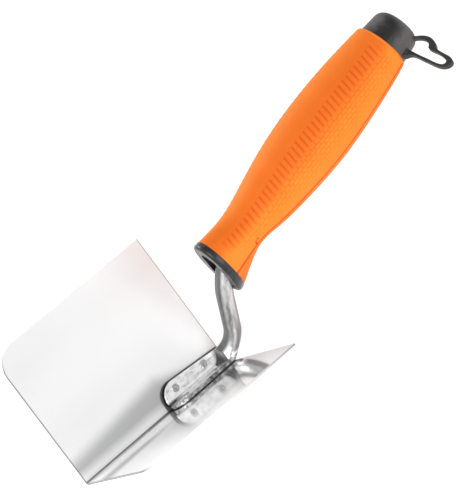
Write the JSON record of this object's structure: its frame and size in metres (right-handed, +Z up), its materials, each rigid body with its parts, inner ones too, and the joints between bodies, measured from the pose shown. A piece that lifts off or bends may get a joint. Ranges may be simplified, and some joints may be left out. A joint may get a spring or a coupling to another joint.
{
  "type": "inside corner trowel",
  "caption": "Hand trowel for finishing inside corners: a right-angled folded steel blade, a cast bracket with a cranked shank, and a soft-grip handle with a hanging loop.",
  "frame": {"origin": "lowest point of the blade's fold, half way along the fold", "axes": "+X along the fold towards the handle's end, +Z up out of the V between the two wings, +Y towards the left wing; the XZ plane is the plane of symmetry"},
  "size_m": [0.1981, 0.089, 0.109],
  "materials": {
    "blade_steel": "polished stainless sheet",
    "cast_bracket": "as cast, lightly tumbled",
    "rivet_metal": "closed cold, satin",
    "core_plastic": "moulded, glossy",
    "soft_grip": "soft moulded elastomer with a fine grip texture",
    "cap_plastic": "moulded, fine matt grain"
  },
  "bodies": {
    "root": {"blade": "blade_steel", "shank_bracket": "cast_bracket", "rivet_left_front": "rivet_metal", "rivet_left_rear": "rivet_metal", "rivet_right_front": "rivet_metal", "rivet_right_rear": "rivet_metal", "handle_core": "core_plastic", "grip_sleeve": "soft_grip", "end_cap": "cap_plastic"}
  },
  "joints": []
}
